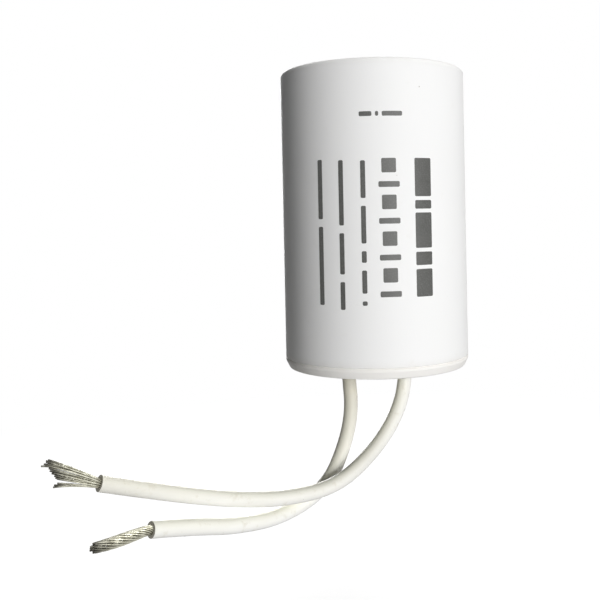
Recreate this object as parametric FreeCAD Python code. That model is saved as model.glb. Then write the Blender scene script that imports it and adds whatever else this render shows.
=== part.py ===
import FreeCAD, Part
import math
import os

# Motor run capacitor: a moulded can with its lid, the film winding potted inside, and two stranded leads.
# Millimetres. The can's axis is +Z with the closed end up, the leads come out of the lid below,
# and the origin is on the axis, at the middle of the can's straight wall, where a band clamp holds it.
V = FreeCAD.Vector
UP = V(0, 0, 1)

# Can
can_radius = 21.0
can_length = 67.0
can_wall = 1.6
closed_wall = 1.8
closed_edge_radius = 1.0
mouth_chamfer = 0.2
cavity_draft = 0.25
cavity_corner_radius = 1.2
gate_recess_radius = 2.6
gate_recess_depth = 0.35
gate_nub_radius = 0.8
gate_nub_height = 0.2

# Lid
lid_thickness = 2.3
lid_land = 0.5
lid_bevel = 0.8
lid_edge_radius = 0.3
skirt_depth = 4.0
skirt_wall = 1.2
skirt_clearance = 0.1
skirt_lead_in = 0.4
lead_hole_clearance = 0.12
lead_hole_lip = 0.3

# Leads
lead_offset = 6.7
insulation_radius = 1.6
insulation_inside = 5.0
insulation_slip = 0.03
strand_radius = 0.17
strand_pitch = 0.38
strand_sides = 6

# Winding and its ends
resin_gap = 1.7
lead_room = 12.3
closed_room = 4.6
spray_thickness = 0.6
spray_rim = 0.25
wrap_thickness = 0.4
mandrel_bore_radius = 3.0
mandrel_wall = 1.0
mandrel_proud = 0.6
resin_level = 1.2

# Soldered ends of the conductors
joint_a_radius = 2.6
joint_a_height = 1.8
joint_b_length = 5.0
joint_b_width = 4.4
core_exit_bend = 3.0
core_exit_clearance = 0.45
joint_b_reach = 9.0
cross_drop = 1.0
cross_rise = 4.0

# Routes of the leads, from the exit on the lid's outer face: sideways, away from the viewer, upwards
lead_a_route = [
    (0.0, 0.0, -2.6),
    (0.7, -0.9, -10.2),
    (-0.8, -3.2, -17.6),
    (-5.4, -8.3, -25.2),
    (-14.1, -15.5, -29.9),
    (-23.3, -24.5, -28.5),
    (-29.8, -31.5, -26.1),
    (-36.4, -38.4, -24.2),
]
lead_b_route = [
    (0.0, 0.0, -3.4),
    (-2.2, -3.0, -11.2),
    (-7.5, -7.4, -18.3),
    (-15.7, -12.8, -24.5),
    (-26.3, -17.6, -25.6),
    (-36.2, -22.0, -24.2),
    (-44.2, -27.0, -21.7),
    (-51.7, -33.0, -18.5),
    (-59.3, -38.8, -15.2),
]
arc_share = 0.45

# Bare end of lead A: the strands are twisted together and bend down to their tip,
# given from the end of the insulation: sideways, away from the viewer, upwards
twist_tip = (-8.7, -6.8, -0.9)
twist_turns = 0.8
twist_stations = 8

# Bare end of lead B: the strands part into three locks. Each lock has its strands, the tips of its first
# and last rows (along the lead, and across it upwards), how far it lies back, and how late it bends away
fan_stations = 5
fan_layer_gap = 0.4
top_lock = {"strands": 4, "first": (11.3, 2.75), "last": (11.9, 2.25), "back": 0.1, "bow": 0.9}
main_lock = {"strands": 12, "first": (9.6, 1.6), "last": (8.0, -0.5), "back": 0.0, "bow": 1.0}
low_lock = {"strands": 3, "first": (7.8, -1.1), "last": (8.5, -1.7), "back": 0.0, "bow": 1.6}
fan_locks = [top_lock, main_lock, low_lock]

# Heights above the lid's outer face
wall_bottom = lid_thickness + mouth_chamfer
wall_top = can_length - closed_edge_radius
clamp_height = (wall_bottom + wall_top) / 2
cavity_top = can_length - closed_wall
lower_spray_face = lid_thickness + lead_room
winding_bottom = lower_spray_face + spray_thickness
upper_spray_face = cavity_top - closed_room
winding_top = upper_spray_face - spray_thickness
mandrel_bottom = lower_spray_face - mandrel_proud
mandrel_top = upper_spray_face + mandrel_proud
resin_bottom = lid_thickness + resin_level

# Radii
mouth_radius = can_radius - can_wall
cavity_end_radius = mouth_radius - cavity_draft
wrap_radius = cavity_end_radius - resin_gap
winding_radius = wrap_radius - wrap_thickness
mandrel_radius = mandrel_bore_radius + mandrel_wall
conductor_radius = 2 * strand_pitch + strand_radius
bore_radius = conductor_radius + insulation_slip
lead_hole_radius = insulation_radius + lead_hole_clearance


def height(above_lid):
    """Z of a height above the lid's outer face."""
    return above_lid - clamp_height


def place(x, y, above_lid):
    return V(x, y, height(above_lid))


def revolved(profile):
    """Solid of revolution about the can's axis from the edges of its half outline."""
    face = Part.Face(Part.Wire(profile))
    return face.revolve(V(0, 0, 0), UP, 360)


def outline(corners, rounding):
    """Edges of a half outline through (radius, height above the lid) corners, some of them rounded."""
    points = [place(r, 0, h) for r, h in corners]
    return rounded_edges(points, rounding, closed=True)


def ring(inner, outer, bottom, top):
    """Plain tube about the axis."""
    outside = Part.makeCylinder(outer, top - bottom, place(0, 0, bottom))
    return outside.cut(Part.makeCylinder(inner, top - bottom, place(0, 0, bottom)))


def corner_arc(before, corner, after, radius):
    """Tangent arc in a corner: its start, its middle and its end."""
    back = (before - corner).normalize()
    ahead = (after - corner).normalize()
    half_turn = (math.pi - back.getAngle(ahead)) / 2
    reach = radius * math.tan(half_turn)
    start = corner + back * reach
    end = corner + ahead * reach
    inward = (back + ahead).normalize()
    centre = corner + inward * (radius / math.cos(half_turn))
    middle = centre - inward * radius
    return start, middle, end


def rounded_edges(points, radii, closed=False):
    """Straight runs joined by tangent arcs; radii maps a point's place in the list to its arc."""
    count = len(points)
    starts = {}
    ends = {}
    arcs = {}
    for index, radius in radii.items():
        arc = corner_arc(points[index - 1], points[index], points[(index + 1) % count], radius)
        starts[index], middle, ends[index] = arc
        arcs[index] = Part.Arc(arc[0], middle, arc[2]).toShape()
    edges = []
    for index in range(count if closed else count - 1):
        follower = (index + 1) % count
        if index in arcs:
            edges.append(arcs[index])
        run_start = ends.get(index, points[index])
        run_end = starts.get(follower, points[follower])
        if run_start.distanceToPoint(run_end) > 1e-6:
            edges.append(Part.LineSegment(run_start, run_end).toShape())
    return edges


def route_radii(points):
    """The largest arc that each corner's two runs allow."""
    radii = {}
    for index in range(1, len(points) - 1):
        back = points[index - 1] - points[index]
        ahead = points[index + 1] - points[index]
        half_turn = (math.pi - back.getAngle(ahead)) / 2
        shorter_run = min(back.Length, ahead.Length)
        radii[index] = arc_share * shorter_run / math.tan(half_turn)
    return radii


def round_bar(path, radius):
    """Solid bar of round section along a path of lines and arcs."""
    edge = path.Edges[0]
    start = edge.valueAt(edge.FirstParameter)
    direction = edge.tangentAt(edge.FirstParameter)
    section = Part.Wire([Part.makeCircle(radius, start, direction)])
    return path.makePipe(Part.Face(section))


def route_points(exit_x, route):
    points = [place(exit_x, 0, insulation_inside)]
    for sideways, away, upwards in route:
        points.append(place(exit_x + sideways, away, upwards))
    return points


def make_case():
    corners = [
        (0, cavity_top),
        (cavity_end_radius, cavity_top),
        (mouth_radius, lid_thickness),
        (can_radius - mouth_chamfer, lid_thickness),
        (can_radius, wall_bottom),
        (can_radius, can_length),
        (0, can_length),
    ]
    shell = revolved(outline(corners, {1: cavity_corner_radius, 5: closed_edge_radius}))
    recess_floor = can_length - gate_recess_depth
    recess = Part.makeCylinder(gate_recess_radius, gate_recess_depth, place(0, 0, recess_floor))
    nub = Part.makeCylinder(gate_nub_radius, gate_nub_height, place(0, 0, recess_floor))
    return shell.cut(recess.cut(nub))


def make_end_cap():
    skirt_outer = mouth_radius - skirt_clearance
    skirt_inner = skirt_outer - skirt_wall
    skirt_top = lid_thickness + skirt_depth
    corners = [
        (0, 0),
        (can_radius - lid_bevel, 0),
        (can_radius, lid_thickness - mouth_chamfer - lid_land),
        (can_radius, lid_thickness - mouth_chamfer),
        (can_radius - mouth_chamfer, lid_thickness),
        (skirt_outer, lid_thickness),
        (skirt_outer, skirt_top - skirt_lead_in),
        (skirt_outer - skirt_lead_in, skirt_top),
        (skirt_inner, skirt_top),
        (skirt_inner, lid_thickness),
        (0, lid_thickness),
    ]
    lid = revolved(outline(corners, {1: lid_edge_radius, 9: skirt_lead_in}))
    for side in (-1, 1):
        hole = Part.makeCylinder(lead_hole_radius, lid_thickness, place(side * lead_offset, 0, 0))
        lip = Part.makeCone(
            lead_hole_radius + lead_hole_lip, lead_hole_radius, lead_hole_lip, place(side * lead_offset, 0, 0)
        )
        lid = lid.cut(hole).cut(lip)
    return lid


def make_mandrel():
    return ring(mandrel_bore_radius, mandrel_radius, mandrel_bottom, mandrel_top)


def make_winding():
    return ring(mandrel_radius, winding_radius, winding_bottom, winding_top)


def make_wrap():
    return ring(winding_radius, wrap_radius, lower_spray_face, upper_spray_face)


def make_spray(winding_end, outer_face):
    """Sprayed metal disc on one end of the roll, thinner towards its rim."""
    rim_face = outer_face + spray_rim * math.copysign(1, winding_end - outer_face)
    rim_start = winding_radius - 2 * spray_thickness
    corners = [
        (mandrel_radius, winding_end),
        (winding_radius, winding_end),
        (winding_radius, rim_face),
        (rim_start, outer_face),
        (mandrel_radius, outer_face),
    ]
    return revolved(outline(corners, {}))


def strand_seats():
    """Places of the strands in the section: one in the middle and rings of six and twelve."""
    seats = [(0.0, 0.0)]
    for layer in (1, 2):
        for turn in range(6 * layer):
            angle = math.tau * turn / (6 * layer)
            seats.append((layer * strand_pitch * math.cos(angle), layer * strand_pitch * math.sin(angle)))
    return seats


def strand_section(centre, across, beyond, spin):
    corners = []
    for side in range(strand_sides):
        angle = spin + math.tau * side / strand_sides
        corners.append(centre + across * (strand_radius * math.cos(angle)) + beyond * (strand_radius * math.sin(angle)))
    return Part.makePolygon(corners + corners[:1])


def section_axes(along):
    """Two directions across a lead: the first as near to upwards as it can be."""
    across = (UP - along * UP.dot(along)).normalize()
    return across, along.cross(across)


def make_twisted_strands(end, along):
    """Strands laid round each other on a line that droops from the lead's own direction."""
    tip = end + V(*twist_tip)
    bend = end + along * (V(*twist_tip).Length / 2)
    stations = []
    for station in range(twist_stations + 1):
        share = station / twist_stations
        centre = end * (1 - share) ** 2 + bend * (2 * share * (1 - share)) + tip * share**2
        heading = ((bend - end) * (1 - share) + (tip - bend) * share).normalize()
        stations.append((centre, section_axes(heading), math.tau * twist_turns * share))
    strands = []
    for seat_up, seat_back in strand_seats():
        sections = []
        for centre, (across, beyond), spin in stations:
            turned_up = seat_up * math.cos(spin) - seat_back * math.sin(spin)
            turned_back = seat_up * math.sin(spin) + seat_back * math.cos(spin)
            middle = centre + across * turned_up + beyond * turned_back
            sections.append(strand_section(middle, across, beyond, spin))
        strands.append(Part.makeLoft(sections, True, True))
    return strands


def fan_tips(lock):
    """Tips of one lock's strands, in two layers, from its upper edge to its lower one."""
    rows = math.ceil(lock["strands"] / 2)
    tips = []
    for place_in_lock in range(lock["strands"]):
        row, layer = divmod(place_in_lock, 2)
        share = row / max(rows - 1, 1)
        reach = lock["first"][0] * (1 - share) + lock["last"][0] * share
        rise = lock["first"][1] * (1 - share) + lock["last"][1] * share
        back = lock["back"] + fan_layer_gap * (layer - 0.5)
        tips.append((reach, rise, back, lock["bow"]))
    return tips


def frayed_lines(end, along):
    """Centre line of each strand of the fan, from its seat in the bundle to its own tip."""
    across, beyond = section_axes(along)
    seats = sorted(strand_seats(), reverse=True)
    for pair in range(0, len(seats), 2):
        seats[pair : pair + 2] = sorted(seats[pair : pair + 2], key=lambda seat: seat[1])
    tips = [tip for lock in fan_locks for tip in fan_tips(lock)]
    lines = []
    for (seat_up, seat_back), (reach, rise, back, bow) in zip(seats, tips):
        line = []
        for station in range(fan_stations + 1):
            share = station / fan_stations
            parted = share**bow
            flattened = share ** (2 * bow)
            up = seat_up * (1 - parted) + rise * parted
            away = seat_back * (1 - flattened) + back * flattened
            line.append(end + along * (reach * share) + across * up + beyond * away)
        lines.append(line)
    return lines


def make_frayed_strands(end, along):
    """Strands that part from the bundle into flat locks."""
    across, beyond = section_axes(along)
    strands = []
    for line in frayed_lines(end, along):
        sections = [strand_section(centre, across, beyond, 0.0) for centre in line]
        strands.append(Part.makeLoft(sections, True, True))
    return strands


def make_lead(name, exit_x, route, inner_points, inner_radii, make_strands):
    """Insulation and conductor of one lead; the conductor also has points inside the can."""
    points = route_points(exit_x, route)
    radii = route_radii(points)
    path = Part.Wire(rounded_edges(points, radii))
    outside = round_bar(path, insulation_radius)
    bore = round_bar(path, bore_radius)
    insulation = outside.cut(bore)
    section = math.pi * (insulation_radius**2 - bore_radius**2)
    share = insulation.Volume / (section * path.Length)
    print(name, "length %.1f mm, tube volume / section x length %.5f" % (path.Length, share))
    print(name, "arc radii", [round(radii[index], 1) for index in sorted(radii)])
    core_points = inner_points + points[1:]
    core_radii = dict(inner_radii)
    for index, radius in radii.items():
        core_radii[index + len(inner_points) - 1] = radius
    core_path = Part.Wire(rounded_edges(core_points, core_radii))
    core = round_bar(core_path, conductor_radius)
    along = (points[-1] - points[-2]).normalize()
    conductor = Part.makeCompound([core] + make_strands(points[-1], along))
    return insulation, conductor, outside, core


def lead_a_inner():
    """The left lead runs straight up to the lower contact."""
    return [place(-lead_offset, 0, lower_spray_face)], {}


def lead_b_inner():
    """The right lead crosses to the core, runs up through it and turns over onto the upper contact."""
    exit_height = mandrel_top + conductor_radius + core_exit_clearance
    points = [
        place(joint_b_reach, 0, exit_height),
        place(0, 0, exit_height),
        place(0, 0, mandrel_bottom - cross_drop),
        place(lead_offset, 0, insulation_inside + cross_rise),
    ]
    radii = route_radii(points + [place(lead_offset, 0, 0)])
    radii[1] = core_exit_bend
    return points, radii


def make_joint_a(core):
    """Dome of solder on the lower contact, round the end of the left conductor."""
    foot = place(-lead_offset, 0, lower_spray_face)
    dome = Part.makeSphere(joint_a_radius)
    flatten = FreeCAD.Matrix()
    flatten.scale(1, 1, joint_a_height / joint_a_radius)
    dome = dome.transformGeometry(flatten)
    dome.translate(foot)
    above = Part.makeCylinder(2 * joint_a_radius, 2 * joint_a_radius, foot)
    return dome.cut(above).cut(core)


def make_joint_b(core):
    """Long bead of solder on the upper contact, over the end of the right conductor."""
    middle_x = joint_b_reach - joint_b_length / 2 + conductor_radius
    foot = place(middle_x, 0, upper_spray_face)
    rise = mandrel_proud + core_exit_clearance + 2 * conductor_radius + strand_pitch
    bead = Part.makeSphere(1.0)
    stretch = FreeCAD.Matrix()
    stretch.scale(joint_b_length / 2, joint_b_width / 2, rise)
    bead = bead.transformGeometry(stretch)
    bead.translate(foot)
    below = Part.makeCylinder(joint_b_length, rise, foot - UP * rise)
    return bead.cut(below).cut(core)


def resin_radius(above_lid):
    """Radius of the drafted cavity at a height above the lid."""
    share = (above_lid - lid_thickness) / (cavity_top - lid_thickness)
    return mouth_radius + (cavity_end_radius - mouth_radius) * share


def make_resin(contents):
    """Resin that fills the cavity from above the lid, round everything in it."""
    corners = [
        (0, resin_bottom),
        (resin_radius(resin_bottom), resin_bottom),
        (cavity_end_radius, cavity_top),
        (0, cavity_top),
    ]
    block = revolved(outline(corners, {2: cavity_corner_radius}))
    return block.cut(contents)


def build():
    insulation_a, conductor_a, lead_a, core_a = make_lead(
        "lead a", -lead_offset, lead_a_route, *lead_a_inner(), make_twisted_strands
    )
    insulation_b, conductor_b, lead_b, core_b = make_lead(
        "lead b", lead_offset, lead_b_route, *lead_b_inner(), make_frayed_strands
    )
    nodes = {
        "case": make_case(),
        "end_cap": make_end_cap(),
        "winding_mandrel": make_mandrel(),
        "film_winding": make_winding(),
        "winding_wrap": make_wrap(),
        "lower_end_spray": make_spray(winding_bottom, lower_spray_face),
        "upper_end_spray": make_spray(winding_top, upper_spray_face),
        "solder_joint_a": make_joint_a(core_a),
        "solder_joint_b": make_joint_b(core_b),
        "lead_a_insulation": insulation_a,
        "lead_a_conductor": conductor_a,
        "lead_b_insulation": insulation_b,
        "lead_b_conductor": conductor_b,
    }
    potted = [name for name in nodes if name != "case" and not name.startswith("lead_")]
    contents = [nodes[name] for name in potted] + [lead_a, lead_b, core_a, core_b]
    nodes["potting_resin"] = make_resin(contents)
    return nodes


os.makedirs("parts", exist_ok=True)
for node_name, solid in build().items():
    solid.exportStep(os.path.join("parts", node_name + ".step"))
    print("%-20s solids %d  valid %s  volume %.1f" % (node_name, len(solid.Solids), solid.isValid(), solid.Volume))
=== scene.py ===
import math

import bmesh
import bpy
from mathutils import Matrix, Vector


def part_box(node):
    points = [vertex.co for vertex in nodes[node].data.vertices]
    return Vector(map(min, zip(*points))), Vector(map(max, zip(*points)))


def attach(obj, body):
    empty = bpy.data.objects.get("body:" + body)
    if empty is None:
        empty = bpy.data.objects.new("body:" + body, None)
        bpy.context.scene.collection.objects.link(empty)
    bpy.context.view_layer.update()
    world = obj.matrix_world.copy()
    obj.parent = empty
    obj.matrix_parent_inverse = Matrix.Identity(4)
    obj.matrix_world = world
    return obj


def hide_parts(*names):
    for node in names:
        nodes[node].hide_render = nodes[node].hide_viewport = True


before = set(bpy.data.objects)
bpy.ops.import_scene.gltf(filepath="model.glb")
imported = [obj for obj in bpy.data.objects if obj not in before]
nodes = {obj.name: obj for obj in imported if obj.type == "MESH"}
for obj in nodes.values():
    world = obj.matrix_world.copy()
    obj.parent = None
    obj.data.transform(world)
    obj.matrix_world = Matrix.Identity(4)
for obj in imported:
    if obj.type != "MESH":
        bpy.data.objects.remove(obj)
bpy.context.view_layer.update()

# Faces of the can and its lid, in metres
mm = 0.001
up = Vector((0, 0, 1))
case_low, case_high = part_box("case")
can_radius = case_high.x
closed_face = case_high.z
lid_joint = case_low.z
lid_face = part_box("end_cap")[0].z

# Leads: where they leave the lid, their sections, and their lengths with the stretch inside the can
lead_offset = 6.7 * mm
insulation_radius = 1.6 * mm
insulation_inside = 5.0 * mm
bore_radius = 0.96 * mm
strand_radius = 0.17 * mm
strand_pitch = 0.38 * mm
lay_length = 16 * mm
lead_a_length = 0.0776
lead_b_length = 0.0906
route_steps = 16

# Routes of the leads, from the exit on the lid: sideways, away from the viewer, upwards
lead_a_route = [
    (0.0, 0.0, -0.0026),
    (0.0007, -0.0009, -0.0102),
    (-0.0008, -0.0032, -0.0176),
    (-0.0048, -0.0087, -0.0259),
    (-0.0140, -0.0164, -0.0299),
    (-0.0230, -0.0256, -0.0285),
    (-0.0296, -0.0318, -0.0261),
    (-0.0364, -0.0384, -0.0242),
]
lead_b_route = [
    (0.0, 0.0, -0.0034),
    (-0.0022, -0.0030, -0.0112),
    (-0.0075, -0.0074, -0.0183),
    (-0.0157, -0.0128, -0.0245),
    (-0.0263, -0.0176, -0.0256),
    (-0.0362, -0.0220, -0.0242),
    (-0.0442, -0.0270, -0.0217),
    (-0.0517, -0.0330, -0.0185),
    (-0.0593, -0.0388, -0.0152),
]

# Conductors inside the can, from their soldered ends to the start of the insulation: places in the frame
core_a_route = [
    (-0.0067, 0.0, -0.0197),
]
core_b_route = [
    (0.0090, 0.0, 0.02833),
    (0.0042, 0.0, 0.02833),
    (0.0, 0.0, 0.02833),
    (0.0, 0.0, 0.0240),
    (0.0, 0.0, 0.0100),
    (0.0, 0.0, -0.0090),
    (0.0, 0.0, -0.0205),
    (0.0030, 0.0, -0.0229),
    (0.0062, 0.0, -0.0250),
    (0.0067, 0.0, -0.0272),
]

# Cut ends of the insulation: their rounded edges, and the swelling and the pinch that the stripping left
insulation_sides = 48
cut_rounding = 0.09 * mm
cut_steps = 4
end_swell = 0.035 * mm
end_swell_reach = 0.9 * mm
pinch_depth = 0.03 * mm
pinch_place = 2.6 * mm
pinch_reach = 0.7 * mm

# Strands: the steps of their rounded tips go back from the tip and in from the side, in roundings
strand_sides = 10
tip_rounding = 0.04 * mm
tip_steps = [(2.6, 0.0), (1.3, 0.3), (1.0, 1.0)]

# Bare end of lead A: twisted strands on a bend from the end of the insulation to their tip
twist_tip = Vector((-0.0094, -0.0070, -0.0008))
twist_turns = 0.8
twist_stations = 40
straight_start = 1.7 * mm
twist_sag = 0.55 * mm
sag_place = 0.52
twist_swell = 0.27
swell_place = 1.5
twist_rounding = 0.45 * mm
uneven_cut = 0.12 * mm
cut_phase = 2.3

# Bare end of lead B: locks of strands, with first and last tips along and across the lead, in millimetres
top_lock = {
    "strands": 6,
    "layers": 3,
    "first": (10.8, 2.85),
    "last": (11.3, 2.1),
    "back": 0.1,
    "bow": 0.9,
    "hook": 0.7,
}
main_lock = {
    "strands": 10,
    "layers": 2,
    "first": (10.2, 1.5),
    "last": (8.2, -0.3),
    "back": 0.0,
    "bow": 1.0,
    "hook": 0.0,
}
low_lock = {
    "strands": 3,
    "layers": 1,
    "first": (7.8, -1.05),
    "last": (8.5, -1.75),
    "back": 0.0,
    "bow": 1.6,
    "hook": 0.1,
}
fan_locks = [top_lock, main_lock, low_lock]
fan_stations = 24
layer_gap = 0.38 * mm
uneven_reach = 0.22 * mm
reach_phase = 2.7
fan_wave = 0.14 * mm
wave_phase = 2.4
hook_power = 5

# Print on the can: how deep and how proud the ink lies, and its patches in degrees and millimetres
ink_sunk = 0.03 * mm
ink_proud = 0.02 * mm
ink_inside = can_radius - ink_sunk
ink_outside = can_radius + ink_proud
degrees_a_step = 1.5
patch_rounding = 0.28 * mm
patch_rounding_steps = 4
sharp_corner = 1.0
level_limit = 0.001 * mm
join_distance = 0.002 * mm
heavy_column = (24.2, 35.0)
heavy_blocks = [(17.0, 22.8), (23.6, 26.4), (27.2, 34.6), (35.4, 37.2), (38.0, 46.0)]
mark_patches = [
    (4.6, 13.0, 43.0, 46.0),
    (2.8, 15.0, 40.0, 41.2),
    (4.6, 13.0, 35.4, 38.4),
    (2.8, 15.0, 32.4, 33.6),
    (4.6, 13.0, 27.8, 30.8),
    (2.8, 15.0, 24.8, 26.0),
    (4.6, 13.0, 20.2, 23.2),
    (2.8, 15.0, 17.2, 18.4),
]
dash_columns = [
    ((-7.4, -4.6), [(37.8, 45.6), (28.4, 36.2), (24.4, 26.8), (18.0, 22.8), (15.5, 16.4)]),
    ((-20.3, -17.5), [(32.2, 45.8), (22.0, 30.6), (14.6, 20.4)]),
    ((-33.9, -30.9), [(33.6, 46.1), (15.5, 32.0)]),
]
code_row = (54.7, 55.7)
code_dashes = [(-7.6, -0.4), (1.6, 3.4), (5.4, 17.2)]

# Finishes: what a cloud leaves of a tone, the painted shade below the lid, and the reach of painted shade at
# cut ends and strand tips
clouding = 0.982
painted_shade_bottom = -62 * mm
painted_shade_height = 27 * mm
painted_cut_shade_depth = 0.06 * mm
painted_tip_shade_length = 5.6 * mm

# Angles past which an edge between two faces stays sharp
lead_crease = math.radians(50)
ink_crease = math.radians(40)

# Studio
floor_level = -88 * mm
floor_radius = 1.2
floor_sides = 96
shadow_reach = 0.10
shadow_fade = 0.12
shadow_light = 0.35
ambient = 0.01

# Camera
camera_place = (0.0, -0.19062, -0.00111)
camera_yaw = 0.0358
camera_pitch = -0.011
camera_roll = 0.0201
camera_lens = 49.24
camera_shift_x = -0.075
camera_shift_y = -0.1167

# Places of the colour sockets in a Mix node's lists, where several sockets share a name
mix_share = 0
mix_first = 6
mix_second = 7
mix_result = 2


class Field:
    """A socket of a node tree that arithmetic can be written on."""

    def __init__(self, socket):
        self.socket = socket
        self.tree = socket.id_data

    def math(self, operation, *terms):
        node = self.tree.nodes.new("ShaderNodeMath")
        node.operation = operation
        for slot, term in zip(node.inputs, terms):
            if isinstance(term, Field):
                self.tree.links.new(term.socket, slot)
            else:
                slot.default_value = term
        return Field(node.outputs[0])

    def __add__(self, other):
        return self.math("ADD", self, other)

    def __radd__(self, other):
        return self.math("ADD", other, self)

    def __sub__(self, other):
        return self.math("SUBTRACT", self, other)

    def __rsub__(self, other):
        return self.math("SUBTRACT", other, self)

    def __mul__(self, other):
        return self.math("MULTIPLY", self, other)

    def __rmul__(self, other):
        return self.math("MULTIPLY", other, self)

    def __truediv__(self, other):
        return self.math("DIVIDE", self, other)

    def __rtruediv__(self, other):
        return self.math("DIVIDE", other, self)

    def __pow__(self, other):
        return self.math("POWER", self, other)

    def __rpow__(self, other):
        return self.math("POWER", other, self)

    def squared(self):
        return self * self

    def sine(self):
        return self.math("SINE", self)

    def cosine(self):
        return self.math("COSINE", self)

    def clipped(self):
        return self.math("MINIMUM", self.math("MAXIMUM", self, 0.0), 1.0)

    def above(self, edge, softness):
        """0 below the edge and 1 above it, over a soft step."""
        return ((self - edge) / softness + 0.5).clipped()


class NodeTree:
    """The node tree of a material or the world, with one way to add any node."""

    def __init__(self, tree):
        self.tree = tree

    def node(self, kind, settings=None, values=None, output=0):
        made = self.tree.nodes.new("ShaderNode" + kind)
        for name, value in (settings or {}).items():
            setattr(made, name, value)
        for name, value in (values or {}).items():
            if isinstance(value, Field):
                self.tree.links.new(value.socket, made.inputs[name])
            else:
                made.inputs[name].default_value = value
        return Field(made.outputs[output])

    def seen(self):
        """1 for what the camera sees, also in gloss and through clear things, and 0 for all other light."""
        camera = self.node("LightPath", output="Is Camera Ray")
        gloss = self.node("LightPath", output="Is Glossy Ray")
        through = self.node("LightPath", output="Is Transmission Ray")
        return (camera + gloss + through).clipped()


class Finish(NodeTree):
    """A material in the making, with its surface shader."""

    def __init__(self, name, **constants):
        self.material = bpy.data.materials.new(name)
        self.material.use_nodes = True
        super().__init__(self.material.node_tree)
        self.shader = self.tree.nodes["Principled BSDF"]
        for socket, value in constants.items():
            self.shader.inputs[socket.replace("_", " ")].default_value = value

    def place(self, stretch=(1, 1, 1), turn=(0, 0, 0)):
        """Where a point of the piece is, in the frame, turned and stretched."""
        spot = self.node("TexCoord", output="Object")
        return self.node("Mapping", {}, {"Vector": spot, "Scale": stretch, "Rotation": turn})

    def part(self, vector, axis):
        """One of the three numbers of a place."""
        return self.node("SeparateXYZ", {}, {"Vector": vector}, axis)

    def from_axis(self):
        """How far a point is from the can's axis."""
        spot = self.place()
        return (self.part(spot, "X").squared() + self.part(spot, "Y").squared()) ** 0.5

    def noise(self, size, detail=2.0, roughness=0.5, spot=None):
        """Noise whose marks are about size metres across."""
        values = {
            "Vector": spot or self.place(),
            "Scale": 1 / size,
            "Detail": detail,
            "Roughness": roughness,
        }
        return self.node("TexNoise", {}, values)

    def specks(self, spacing, size, share):
        """Small round specks in a share of the cells."""
        values = {"Vector": self.place(), "Scale": 1 / spacing}
        away = self.node("TexVoronoi", {}, values, "Distance")
        cell_colour = self.node("TexVoronoi", {}, values, "Color")
        draw = self.node("SeparateColor", {}, {"Color": cell_colour}, "Red")
        return (1 - away.above(size / spacing, 0.04)) * draw.above(1 - share, 0.01)

    def blend(self, share, first, second):
        """Colour between two colours."""
        values = {mix_share: share, mix_first: first, mix_second: second}
        return self.node("Mix", {"data_type": "RGBA"}, values, mix_result)

    def bump(self, height, distance, strength=1.0, under=None):
        values = {"Height": height, "Distance": distance, "Strength": strength}
        if under is not None:
            values["Normal"] = under
        return self.node("Bump", {}, values)

    def feed(self, **sockets):
        """Link what changes over the surface to its shader, and give the material."""
        for name, value in sockets.items():
            self.tree.links.new(value.socket, self.shader.inputs[name.replace("_", " ")])
        return self.material


def rgb(red, green, blue):
    return (red, green, blue, 1.0)


# Colours
can_white = rgb(0.90, 0.90, 0.895)
can_handled = rgb(0.72, 0.695, 0.64)
lid_white = rgb(0.945, 0.93, 0.90)
lid_handled = rgb(0.76, 0.72, 0.65)
moulding_speck = rgb(0.30, 0.27, 0.23)
lead_ivory = rgb(0.965, 0.96, 0.94)
# Painted shade for the leads' upper side, yellower and darker than the rest
lead_painted_top_shade = rgb(0.90, 0.895, 0.77)
# Painted shade on the leads near the lid
lead_painted_shade = rgb(0.55, 0.52, 0.43)
lead_clouded = rgb(0.84, 0.825, 0.72)
lead_smudged = rgb(0.66, 0.62, 0.50)
lead_speck = rgb(0.30, 0.27, 0.21)
# Painted shade on the insulation's cut end faces
painted_cut_shade = rgb(0.23, 0.215, 0.17)
tin_bright = rgb(0.58, 0.57, 0.475)
tin_dull = rgb(0.29, 0.28, 0.215)
tin_drawn = rgb(0.18, 0.17, 0.12)
# Painted shade towards the strand tips
painted_tip_shade = rgb(0.075, 0.072, 0.06)
ink_full = rgb(0.058, 0.059, 0.054)
ink_thin = rgb(0.145, 0.145, 0.14)
ink_faded = rgb(0.10, 0.10, 0.095)
zinc_pale = rgb(0.56, 0.56, 0.55)
zinc_dark = rgb(0.33, 0.33, 0.33)
solder_pale = rgb(0.66, 0.66, 0.65)
solder_dark = rgb(0.44, 0.44, 0.45)
resin_pale = rgb(0.50, 0.42, 0.27)
resin_dark = rgb(0.34, 0.27, 0.16)
film_pale = rgb(0.62, 0.62, 0.64)
film_dark = rgb(0.40, 0.41, 0.44)
wrap_pale = rgb(0.80, 0.78, 0.70)
wrap_dark = rgb(0.62, 0.60, 0.52)
mandrel_pale = rgb(0.78, 0.77, 0.73)
mandrel_dark = rgb(0.66, 0.65, 0.61)
pure_white = rgb(1, 1, 1)
floor_grey = rgb(0.15, 0.15, 0.15)


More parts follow.
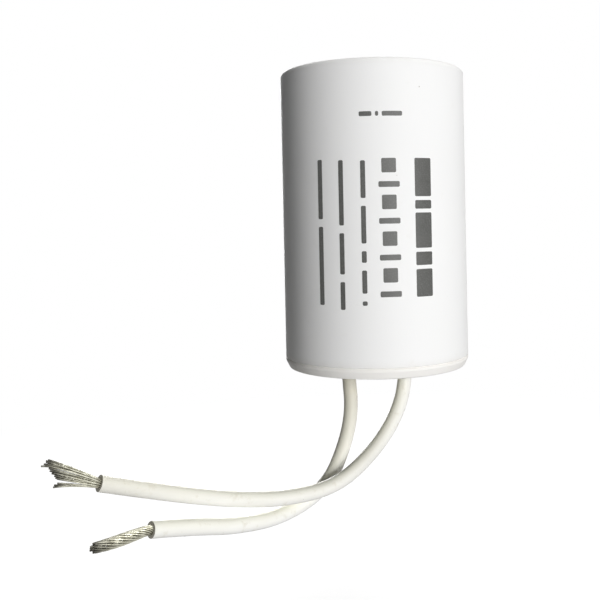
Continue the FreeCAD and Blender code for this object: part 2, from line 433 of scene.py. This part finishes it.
def moulded_plastic(name, pale, worn, roughness, rims):
    """Moulded plastic: clouded tone, fine skin, flow marks, scratches, a few specks and handled rims."""
    finish = Finish(name, IOR=1.46, Specular_IOR_Level=0.12)
    height = finish.part(finish.place(), "Z")
    radius = finish.from_axis()
    cloud = finish.noise(16 * mm, detail=3.0)
    smudge = finish.noise(3.5 * mm, detail=4.0, roughness=0.65)
    skin = finish.noise(0.45 * mm)
    flow = finish.noise(3 * mm, detail=3.0, roughness=0.6, spot=finish.place((1, 1, 0.12)))
    scratch = finish.noise(1.1 * mm, spot=finish.place((1, 1, 0.035), (0.35, 0.5, 0)))
    scratched = scratch.above(0.72, 0.015)
    rim = 0
    for level, reach in rims:
        gap = ((height - level).squared() + (radius - can_radius).squared()) ** 0.5
        rim = rim + (1 - gap / reach).clipped() ** 2
    touched = rim.clipped() * smudge.above(0.5, 0.8) * 0.5
    handled = (touched + smudge.above(0.68, 0.1) * 0.10).clipped()
    clouded = rgb(*(clouding * part for part in pale[:3]))
    tone = finish.blend(cloud.above(0.5, 0.6), pale, clouded)
    tone = finish.blend(handled, tone, worn)
    tone = finish.blend(finish.specks(5 * mm, 0.11 * mm, 0.07), tone, moulding_speck)
    rough = roughness + (flow - 0.5) * 0.14 + (skin - 0.5) * 0.08 + scratched * 0.12 + handled * 0.08
    relief = finish.bump(skin, 0.012 * mm, 0.55)
    relief = finish.bump(flow, 0.05 * mm, 0.25, relief)
    relief = finish.bump(1 - scratched, 0.01 * mm, 0.5, relief)
    return finish.feed(Base_Color=tone, Roughness=rough, Normal=relief)


def lead_plastic(name):
    """Extruded soft plastic: faint lines along it, a waxy skin, small smudges, painted shade on its upper
    side and near the lid, and painted shade on its cut ends.
    """
    finish = Finish(name, IOR=1.5, Specular_IOR_Level=0.2)
    surface = finish.node("UVMap", {"uv_map": "along_lead"})
    turn = finish.part(surface, "X") * math.tau
    from_cut = finish.part(surface, "Y")
    sideways = finish.part(finish.place(), "X")
    height = finish.part(finish.place(), "Z")
    round_lead = {"X": turn.cosine(), "Y": turn.sine(), "Z": from_cut * 14.0}
    lines = finish.noise(0.16, detail=3.0, roughness=0.6, spot=finish.node("CombineXYZ", {}, round_lead))
    smudge = finish.noise(2.2 * mm, detail=4.0, roughness=0.65)
    cloud = finish.noise(9 * mm)
    skin = finish.noise(0.35 * mm)
    # Painted shade: the leads darken towards the lid, much more on lead A than on lead B
    painted_lid_shade = ((height - painted_shade_bottom) / painted_shade_height).clipped()
    on_lead_a = 1 - sideways.above(0.0, 6 * mm)
    # Painted shade: the upper side of each lead turns yellower and darker
    painted_upper_shade = (turn.cosine() * 0.5 + 0.5) ** 2.2
    tone = finish.blend(painted_upper_shade, lead_ivory, lead_painted_top_shade)
    tone = finish.blend(painted_lid_shade * (0.2 + on_lead_a * 0.8), tone, lead_painted_shade)
    tone = finish.blend(cloud.above(0.5, 0.5) * 0.25, tone, lead_clouded)
    tone = finish.blend(smudge.above(0.64, 0.14) * 0.4, tone, lead_smudged)
    tone = finish.blend(finish.specks(3.2 * mm, 0.08 * mm, 0.08), tone, lead_speck)
    # Painted shade: the cut end faces of the insulation are darkened, mottled by the smudge noise
    cut = (1 - from_cut / painted_cut_shade_depth).clipped()
    tone = finish.blend(cut * (0.6 + smudge * 0.5), tone, painted_cut_shade)
    rough = 0.48 + (lines - 0.5) * 0.16 + (smudge - 0.5) * 0.18
    relief = finish.bump(lines, 0.03 * mm, 0.5)
    relief = finish.bump(skin, 0.01 * mm, 0.4, relief)
    return finish.feed(Base_Color=tone, Roughness=rough, Normal=relief)


def tinned_wire(name):
    """Tinned copper: bright, slightly yellow metal with dull and drawn places, and painted shade towards the
    cut tips.
    """
    finish = Finish(name, Metallic=1.0)
    from_tip = finish.part(finish.node("UVMap", {"uv_map": "along_strand"}), "Y")
    dull = finish.noise(1.1 * mm, detail=3.0, roughness=0.55)
    drawn = finish.noise(0.12 * mm, detail=3.0, roughness=0.6)
    tone = finish.blend(dull.above(0.5, 0.3), tin_bright, tin_dull)
    tone = finish.blend(drawn.above(0.66, 0.12) * 0.35, tone, tin_drawn)
    # Painted shade: each strand darkens towards its tip
    tip = ((1 - from_tip / painted_tip_shade_length).clipped() ** 1.5 * (0.8 + dull * 0.6)).clipped()
    tone = finish.blend(tip, tone, painted_tip_shade)
    rough = 0.24 + dull * 0.2 + drawn * 0.08 + tip * 0.15
    return finish.feed(Base_Color=tone, Roughness=rough, Normal=finish.bump(drawn, 0.004 * mm, 0.4))


def pad_ink(name):
    """Dark grey ink, thinner in places."""
    finish = Finish(name, IOR=1.5)
    thin = finish.noise(0.28 * mm, detail=3.0, roughness=0.6)
    wide = finish.noise(2.5 * mm)
    tone = finish.blend(thin.above(0.6, 0.25) * 0.55, ink_full, ink_thin)
    tone = finish.blend(wide.above(0.55, 0.5) * 0.4, tone, ink_faded)
    relief = finish.bump(thin, 0.01 * mm, 0.5)
    return finish.feed(Base_Color=tone, Roughness=0.42 + thin * 0.2, Normal=relief)


def wound_film(name, pale, dark, turn_pitch):
    """Ends and side of a roll of film: fine turns round the axis, shimmering unevenly."""
    finish = Finish(name, Metallic=0.75)
    turns = (finish.from_axis() / turn_pitch * math.tau).sine() * 0.5 + 0.5
    uneven = finish.noise(2.5 * mm, detail=3.0)
    tone = finish.blend((turns * 0.5 + uneven * 0.6).clipped(), pale, dark)
    relief = finish.bump(turns, 0.02 * mm, 0.5)
    return finish.feed(Base_Color=tone, Roughness=0.25 + uneven * 0.25, Normal=relief)


def grainy(name, pale, dark, grain, depth, roughness, **constants):
    """Cast, sprayed or soldered surface: large and small grains in tone, gloss and relief."""
    finish = Finish(name, **constants)
    coarse = finish.noise(grain * 5, detail=3.0, roughness=0.6)
    fine = finish.noise(grain, detail=4.0, roughness=0.65)
    tone = finish.blend((coarse * 0.6 + fine * 0.6 - 0.1).clipped(), pale, dark)
    relief = finish.bump(coarse, depth * 2, 0.5)
    relief = finish.bump(fine, depth, 0.7, relief)
    return finish.feed(Base_Color=tone, Roughness=roughness + (fine - 0.5) * 0.2, Normal=relief)


def select_only(piece):
    for other in bpy.context.selected_objects:
        other.select_set(False)
    piece.select_set(True)
    bpy.context.view_layer.objects.active = piece


def spline_points(name, points):
    """Places along the smooth line that a lead's route gives."""
    curve = bpy.data.curves.new(name, "CURVE")
    curve.dimensions = "3D"
    spline = curve.splines.new("NURBS")
    spline.points.add(len(points) - 1)
    for control, spot in zip(spline.points, points):
        control.co = (*spot, 1.0)
    spline.order_u = 3
    spline.use_endpoint_u = True
    spline.resolution_u = route_steps
    holder = bpy.data.objects.new(name, curve)
    bpy.context.scene.collection.objects.link(holder)
    bpy.context.view_layer.update()
    line = bpy.data.meshes.new_from_object(holder)
    places = [vertex.co.copy() for vertex in line.vertices]
    bpy.data.objects.remove(holder)
    bpy.data.curves.remove(curve)
    bpy.data.meshes.remove(line)
    return places


def travelled(line):
    """How far along a line each of its places is."""
    distances = [0.0]
    for spot, follower in zip(line, line[1:]):
        distances.append(distances[-1] + (follower - spot).length)
    return distances


def section_axes(along):
    """Two directions across a lead: the first as near to upwards as it can be."""
    across = (up - along * up.dot(along)).normalized()
    return across, along.cross(across)


def carried_frames(line):
    """Heading and two directions across at each place of a line, carried back from its end untwisted."""
    count = len(line)
    tangents = []
    for index in range(count):
        before = line[max(index - 1, 0)]
        after = line[min(index + 1, count - 1)]
        tangents.append((after - before).normalized())
    across, beyond = section_axes(tangents[-1])
    frames = [(tangents[-1], across, beyond)]
    for index in range(count - 2, -1, -1):
        turn = tangents[index + 1].rotation_difference(tangents[index])
        across = turn @ across
        across = (across - tangents[index] * across.dot(tangents[index])).normalized()
        frames.append((tangents[index], across, tangents[index].cross(across)))
    frames.reverse()
    return frames


def ring_places(spot, frame_here, radius, sides):
    """Places on a circle round a spot of a line."""
    along, across, beyond = frame_here
    ring = []
    for side in range(sides):
        angle = math.tau * side / sides
        ring.append(spot + across * (radius * math.cos(angle)) + beyond * (radius * math.sin(angle)))
    return ring


def loft(mesh, layer, rings, distances, closed_loop):
    """Faces between rings of places; the last ring joins the first, or both ends get a cap."""
    sides = len(rings[0])
    rows = [[mesh.verts.new(spot) for spot in ring] for ring in rings]
    pairs = list(zip(range(len(rows)), range(1, len(rows))))
    if closed_loop:
        pairs.append((len(rows) - 1, 0))
    for first, second in pairs:
        for side in range(sides):
            follower = (side + 1) % sides
            corners = (rows[first][side], rows[first][follower], rows[second][follower], rows[second][side])
            face = mesh.faces.new(corners)
            face.smooth = True
            turns = (side / sides, (side + 1) / sides, (side + 1) / sides, side / sides)
            ends = (distances[first], distances[first], distances[second], distances[second])
            for loop, turn, end in zip(face.loops, turns, ends):
                loop[layer].uv = (turn, end)
    if not closed_loop:
        mesh.faces.new(list(reversed(rows[0])))
        mesh.faces.new(rows[-1])


def finished(name, mesh, material):
    """A smooth piece at the origin from a mesh in the making."""
    bmesh.ops.recalc_face_normals(mesh, faces=mesh.faces[:])
    data = bpy.data.meshes.new(name)
    mesh.to_mesh(data)
    mesh.free()
    data.materials.append(material)
    piece = bpy.data.objects.new(name, data)
    bpy.context.scene.collection.objects.link(piece)
    select_only(piece)
    bpy.ops.object.shade_smooth_by_angle(angle=lead_crease)
    return piece


def cut_end(spot, frame_here, inwards):
    """Rings of a rounded cut end of the insulation, from its side to its face, each with its depth."""
    stations = []
    for step in range(cut_steps + 1):
        angle = math.pi / 2 * step / cut_steps
        depth = cut_rounding * (1 - math.sin(angle))
        radius = insulation_radius - cut_rounding * (1 - math.cos(angle))
        stations.append((depth, ring_places(spot + inwards * depth, frame_here, radius, insulation_sides)))
    return stations


def make_insulation(name, line, material):
    """Tube along a lead's line: rounded cut ends, a bore, and a slightly crushed stripped end."""
    frames = carried_frames(line)
    distances = travelled(line)
    whole = distances[-1]
    side = []
    bore = []
    for spot, frame_here, far in zip(line, frames, distances):
        left = whole - far
        if cut_rounding < far < whole - cut_rounding:
            swell = end_swell * math.exp(-((left / end_swell_reach) ** 2))
            pinch = pinch_depth * math.exp(-(((left - pinch_place) / pinch_reach) ** 2))
            radius = insulation_radius + swell - pinch
            side.append((left, ring_places(spot, frame_here, radius, insulation_sides)))
        bore.append((left, ring_places(spot, frame_here, bore_radius, insulation_sides)))
    inner_end = [(whole - depth, ring) for depth, ring in cut_end(line[0], frames[0], frames[0][0])]
    stripped_end = cut_end(line[-1], frames[-1], -frames[-1][0])
    stations = inner_end[::-1] + side + stripped_end + bore[::-1]
    mesh = bmesh.new()
    layer = mesh.loops.layers.uv.new("along_lead")
    loft(mesh, layer, [ring for left, ring in stations], [left for left, ring in stations], True)
    return finished(name, mesh, material)


def strand_seats():
    """Places of the strands in the section: one in the middle and rings of six and twelve."""
    seats = [(0.0, 0.0)]
    for layer in (1, 2):
        for turn in range(6 * layer):
            angle = math.tau * turn / (6 * layer)
            seats.append((layer * strand_pitch * math.cos(angle), layer * strand_pitch * math.sin(angle)))
    return seats


def turned_seat(seat, spin):
    """Where a strand's seat is once the bundle has turned."""
    seat_up, seat_back = seat
    turned_up = seat_up * math.cos(spin) - seat_back * math.sin(spin)
    turned_back = seat_up * math.sin(spin) + seat_back * math.cos(spin)
    return turned_up, turned_back


def bend_place(bends, share):
    """A place on the smooth bend that four places give, and the heading there."""
    rest = 1 - share
    weights = (rest**3, 3 * rest**2 * share, 3 * rest * share**2, share**3)
    spot = sum((bend * weight for bend, weight in zip(bends, weights)), Vector())
    slopes = (rest**2, 2 * rest * share, share**2)
    heading = sum(((b - a) * slope for a, b, slope in zip(bends, bends[1:], slopes)), Vector())
    return spot, heading.normalized()


def twisted_lines(end, along):
    """Seat and bare line of each strand of lead A: laid round each other, drooping, and cut unevenly."""
    sagged = end + twist_tip * sag_place - up * twist_sag
    bends = [end, end + along * straight_start, sagged, end + twist_tip]
    lines = []
    for order, seat in enumerate(strand_seats()):
        outwards = math.hypot(*seat) / (2 * strand_pitch)
        cut_back = twist_rounding * outwards**2 + uneven_cut * (1 + math.sin(cut_phase * order))
        line = []
        for station in range(1, twist_stations + 1):
            share = station / twist_stations * (1 - cut_back / twist_tip.length)
            spot, heading = bend_place(bends, share)
            across, beyond = section_axes(heading)
            turned_up, turned_back = turned_seat(seat, math.tau * twist_turns * share)
            loose = 1 + twist_swell * math.sin(math.pi * share**swell_place)
            line.append(spot + across * (loose * turned_up) + beyond * (loose * turned_back))
        lines.append((seat, line))
    return lines


def lock_tips(lock):
    """Reach, rise, setback, bow and hook of each strand of one lock of lead B."""
    tips = []
    for order in range(lock["strands"]):
        share = order / (lock["strands"] - 1)
        layer = order % lock["layers"]
        reach = (lock["first"][0] * (1 - share) + lock["last"][0] * share) * mm
        reach += uneven_reach * math.sin(reach_phase * order)
        rise = (lock["first"][1] * (1 - share) + lock["last"][1] * share) * mm
        back = lock["back"] * mm + layer_gap * (layer - (lock["layers"] - 1) / 2)
        tips.append((reach, rise, back, lock["bow"], lock["hook"] * mm * share))
    return tips


def frayed_lines(end, along):
    """Seat and bare line of each strand of lead B: parted from the bundle into three flat locks."""
    across, beyond = section_axes(along)
    seats = sorted(strand_seats(), reverse=True)
    for pair in range(0, len(seats), 2):
        seats[pair : pair + 2] = sorted(seats[pair : pair + 2], key=lambda seat: seat[1])
    tips = [tip for lock in fan_locks for tip in lock_tips(lock)]
    lines = []
    for order, (seat, (reach, rise, back, bow, hook)) in enumerate(zip(seats, tips)):
        seat_up, seat_back = seat
        line = []
        for station in range(1, fan_stations + 1):
            share = station / fan_stations
            parted = share**bow
            flattened = share ** (2 * bow)
            wave = fan_wave * math.sin(math.pi * share) * share
            over = seat_up * (1 - parted) + rise * parted - hook * share**hook_power
            over += wave * math.cos(wave_phase * order)
            away = seat_back * (1 - flattened) + back * flattened + wave * math.sin(wave_phase * order)
            line.append(end + along * (reach * share) + across * over + beyond * away)
        lines.append((seat, line))
    return lines


def strand_stations(strand):
    """Spot, directions and radius along one strand, with a rounded tip."""
    stations = [(spot, frame_here, strand_radius) for spot, frame_here in zip(strand, carried_frames(strand))]
    tip, tip_frame, radius = stations.pop()
    for back, narrower in tip_steps:
        spot = tip - tip_frame[0] * (back * tip_rounding)
        stations.append((spot, tip_frame, radius - narrower * tip_rounding))
    return stations


def make_conductor(name, line, bare_lines, turn_rate, material):
    """Nineteen round strands from the soldered end to their bare tips."""
    frames = carried_frames(line)
    distances = travelled(line)
    mesh = bmesh.new()
    layer = mesh.loops.layers.uv.new("along_strand")
    for seat, bare_line in bare_lines:
        strand = []
        for spot, (along, across, beyond), far in zip(line, frames, distances):
            turned_up, turned_back = turned_seat(seat, turn_rate * (far - distances[-1]))
            strand.append(spot + across * turned_up + beyond * turned_back)
        stations = strand_stations(strand + bare_line)
        rings = [ring_places(*station, strand_sides) for station in stations]
        reached = travelled([spot for spot, frame_here, radius in stations])
        from_tip = [reached[-1] - far for far in reached]
        loft(mesh, layer, rings, from_tip, False)
    return finished(name, mesh, material)


def make_lead(letter, exit_x, route, core_route, length, make_lines, turn_rate, finishes):
    """One lead: its insulation and its strands, which end bare, in place of the part's lead nodes."""
    insulation_finish, wire_finish = finishes
    exit_place = Vector((exit_x, 0, lid_face))
    start = exit_place + up * insulation_inside
    controls = [start] + [exit_place + Vector(step) for step in route]
    line = spline_points(letter + "_line", controls)
    tube = make_insulation("lead_" + letter + "_sleeve", line, insulation_finish)
    core_line = spline_points(letter + "_core", [Vector(spot) for spot in core_route] + controls)
    along = (controls[-1] - controls[-2]).normalized()
    bare_lines = make_lines(controls[-1], along)
    strands = make_conductor("lead_" + letter + "_strands", core_line, bare_lines, turn_rate, wire_finish)
    for piece, node, slot in (
        (tube, "lead_" + letter + "_insulation", "lead_insulation"),
        (strands, "lead_" + letter + "_conductor", "tinned_copper"),
    ):
        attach(piece, "root")
        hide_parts(node)


def print_patch(left, right, bottom, top):
    """One inked patch on the can's wall: a thin upright strip at its right side, spun round to its left."""
    place = (0, -(ink_inside + ink_outside) / 2, lid_face + (bottom + top) / 2)
    bpy.ops.mesh.select_all(action="DESELECT")
    bpy.ops.mesh.primitive_plane_add(size=1, location=place, rotation=(math.pi / 2, 0, math.pi / 2))
    bpy.ops.transform.resize(value=(1, ink_outside - ink_inside, top - bottom), center_override=place)
    bpy.ops.transform.rotate(value=-right, orient_axis="Z", center_override=(0, 0, 0))
    steps = max(2, round(math.degrees(right - left) / degrees_a_step))
    bpy.ops.mesh.spin(steps=steps, angle=right - left, center=(0, 0, 0), axis=(0, 0, 1))


def is_patch_corner(edge):
    """Whether an edge runs level through the ink at a corner of its patch."""
    run = edge.verts[0].co - edge.verts[1].co
    level = abs(run.z) < level_limit
    through_ink = run.xy.length < 2 * (ink_outside - ink_inside)
    return level and through_ink and edge.calc_face_angle(0) > sharp_corner


def make_print(patches, material):
    """Generic print on the front of the can: heavy blocks, plain squares and bars, and columns of dashes."""
    data = bpy.data.meshes.new("printed_marks")
    data.materials.append(material)
    piece = bpy.data.objects.new("printed_marks", data)
    bpy.context.scene.collection.objects.link(piece)
    select_only(piece)
    bpy.ops.object.mode_set(mode="EDIT")
    for left, right, bottom, top in patches:
        print_patch(math.radians(left), math.radians(right), bottom * mm, top * mm)
    bpy.ops.mesh.select_all(action="SELECT")
    bpy.ops.mesh.remove_doubles(threshold=join_distance)
    bpy.ops.mesh.normals_make_consistent(inside=False)
    bpy.ops.mesh.select_all(action="DESELECT")
    bpy.ops.mesh.select_mode(type="EDGE")
    mesh = bmesh.from_edit_mesh(data)
    for edge in mesh.edges:
        if is_patch_corner(edge):
            edge.select_set(True)
    bmesh.update_edit_mesh(data)
    bpy.ops.mesh.bevel(offset=patch_rounding, segments=patch_rounding_steps, affect="EDGES")
    bpy.ops.mesh.select_mode(type="VERT")
    bpy.ops.object.mode_set(mode="OBJECT")
    bpy.ops.object.shade_smooth_by_angle(angle=ink_crease)
    return piece


def all_patches():
    """Left, right, bottom and top of every inked patch."""
    patches = [(*heavy_column, *block) for block in heavy_blocks] + mark_patches
    for column, dashes in dash_columns:
        patches += [(*column, *dash) for dash in dashes]
    patches += [(*dash, *code_row) for dash in code_dashes]
    return patches


def dress_carried_nodes():
    """A finish for every node that is kept as the part has it."""
    can_rims = [(closed_face, 2.2 * mm), (lid_joint, 2.0 * mm)]
    lid_rims = [(lid_joint, 1.2 * mm), (lid_face, 1.0 * mm)]
    zinc = grainy("sprayed_zinc", zinc_pale, zinc_dark, 0.25 * mm, 0.06 * mm, 0.6, Metallic=0.9)
    solder = grainy("soft_solder", solder_pale, solder_dark, 0.5 * mm, 0.02 * mm, 0.3, Metallic=1.0)
    finishes = {
        "case": moulded_plastic("white_can_plastic", can_white, can_handled, 0.58, can_rims),
        "end_cap": moulded_plastic("beige_lid_plastic", lid_white, lid_handled, 0.60, lid_rims),
        "potting_resin": grainy("potting_resin", resin_pale, resin_dark, 1.2 * mm, 0.02 * mm, 0.35),
        "film_winding": wound_film("metallised_film", film_pale, film_dark, 0.35 * mm),
        "winding_wrap": wound_film("plain_film", wrap_pale, wrap_dark, 0.12 * mm),
        "winding_mandrel": grainy("mandrel_plastic", mandrel_pale, mandrel_dark, 0.8 * mm, 0.01 * mm, 0.5),
        "lower_end_spray": zinc,
        "upper_end_spray": zinc,
        "solder_joint_a": solder,
        "solder_joint_b": solder,
    }
    for node_name, finish in finishes.items():
        for slot in nodes[node_name].material_slots:
            slot.material = finish


def stage_finish(name):
    """White to the camera and in gloss, with the shadow kept near the part; plain grey to other light."""
    finish = Finish(name, Roughness=0.9, Base_Color=floor_grey)
    spot = finish.node("TexCoord", output="Object")
    away = finish.node("VectorMath", {"operation": "LENGTH"}, {0: spot}, "Value")
    far = ((away - shadow_reach) / shadow_fade).clipped()
    white = finish.node("Emission", {}, {"Color": pure_white, "Strength": 1.0})
    lift = finish.node("Emission", {}, {"Color": pure_white, "Strength": 1 - shadow_light / 2})
    lit_colour = rgb(shadow_light, shadow_light, shadow_light)
    lit = finish.node("BsdfDiffuse", {}, {"Color": lit_colour})
    near = finish.node("AddShader", {}, {0: lift, 1: lit})
    shown = finish.node("MixShader", {}, {0: far, 1: near, 2: white})
    plain = Field(finish.shader.outputs[0])
    surface = finish.node("MixShader", {}, {0: finish.seen(), 1: plain, 2: shown})
    output = finish.tree.nodes["Material Output"]
    finish.tree.links.new(surface.socket, output.inputs["Surface"])
    return finish.material


def make_floor():
    bpy.ops.object.select_all(action="DESELECT")
    place = (0, 0, floor_level)
    bpy.ops.mesh.primitive_circle_add(
        vertices=floor_sides, radius=floor_radius, fill_type="NGON", location=place
    )
    floor = bpy.context.object
    floor.name = "floor"
    floor.data.materials.append(stage_finish("white_floor"))


def make_world():
    """White behind the part, and almost no light from it."""
    world = bpy.data.worlds.new("white_studio")
    world.use_nodes = True
    bpy.context.scene.world = world
    maker = NodeTree(world.node_tree)
    background = maker.tree.nodes["Background"]
    background.inputs["Color"].default_value = pure_white
    strength = ambient + maker.seen() * (1 - ambient)
    maker.tree.links.new(strength.socket, background.inputs["Strength"])


def area_lamp(name, place, target, width, height, watts):
    data = bpy.data.lights.new(name, "AREA")
    data.shape = "RECTANGLE"
    data.size = width
    data.size_y = height
    data.energy = watts
    lamp = bpy.data.objects.new(name, data)
    lamp.location = place
    lamp.rotation_euler = (Vector(target) - Vector(place)).to_track_quat("-Z", "Y").to_euler()
    lamp.visible_camera = False
    bpy.context.scene.collection.objects.link(lamp)


def make_lamps():
    """Soft lamps that the camera doesn't see: a key at the right, a low fill, and three round the part."""
    area_lamp("front_lamp", (0.408, -0.740, 0.07), (0, 0, -0.01), width=0.34, height=0.30, watts=6.32)
    area_lamp("fill_lamp", (0.05, -0.84, -0.02), (0, 0, -0.02), width=0.40, height=0.12, watts=0.42)
    area_lamp("top_lamp", (0.12, 0.10, 0.71), (0, 0, 0), width=0.40, height=0.40, watts=2.3)
    area_lamp("right_lamp", (0.67, 0.31, 0.10), (0, 0, -0.01), width=0.50, height=0.36, watts=0.6)
    area_lamp("back_lamp", (-0.12, 0.79, 0.16), (0, 0, -0.01), width=0.30, height=0.50, watts=6.0)


def make_camera():
    """The camera at the photograph's place, turn and framing."""
    data = bpy.data.cameras.new("camera")
    data.sensor_width = 36.0
    data.lens = camera_lens
    data.shift_x = camera_shift_x
    data.shift_y = camera_shift_y
    camera = bpy.data.objects.new("camera", data)
    bpy.context.scene.collection.objects.link(camera)
    yawed = Matrix.Rotation(camera_yaw, 4, "Z")
    pitched = Matrix.Rotation(camera_pitch + math.pi / 2, 4, "X")
    rolled = Matrix.Rotation(-camera_roll, 4, "Z")
    camera.matrix_world = Matrix.Translation(camera_place) @ yawed @ pitched @ rolled
    bpy.context.scene.camera = camera


lead_finishes = (lead_plastic("ivory_lead_plastic"), tinned_wire("tinned_copper_wire"))
twist_rate = math.tau * twist_turns / twist_tip.length
lay_rate = math.tau / lay_length
leads = [
    ("a", -lead_offset, lead_a_route, core_a_route, lead_a_length, twisted_lines, twist_rate),
    ("b", lead_offset, lead_b_route, core_b_route, lead_b_length, frayed_lines, lay_rate),
]
for lead in leads:
    make_lead(*lead, lead_finishes)

printed = make_print(all_patches(), pad_ink("dark_pad_ink"))
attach(printed, "root")
dress_carried_nodes()

make_floor()
make_world()
make_lamps()
make_camera()
bpy.context.scene.view_settings.view_transform = "Standard"
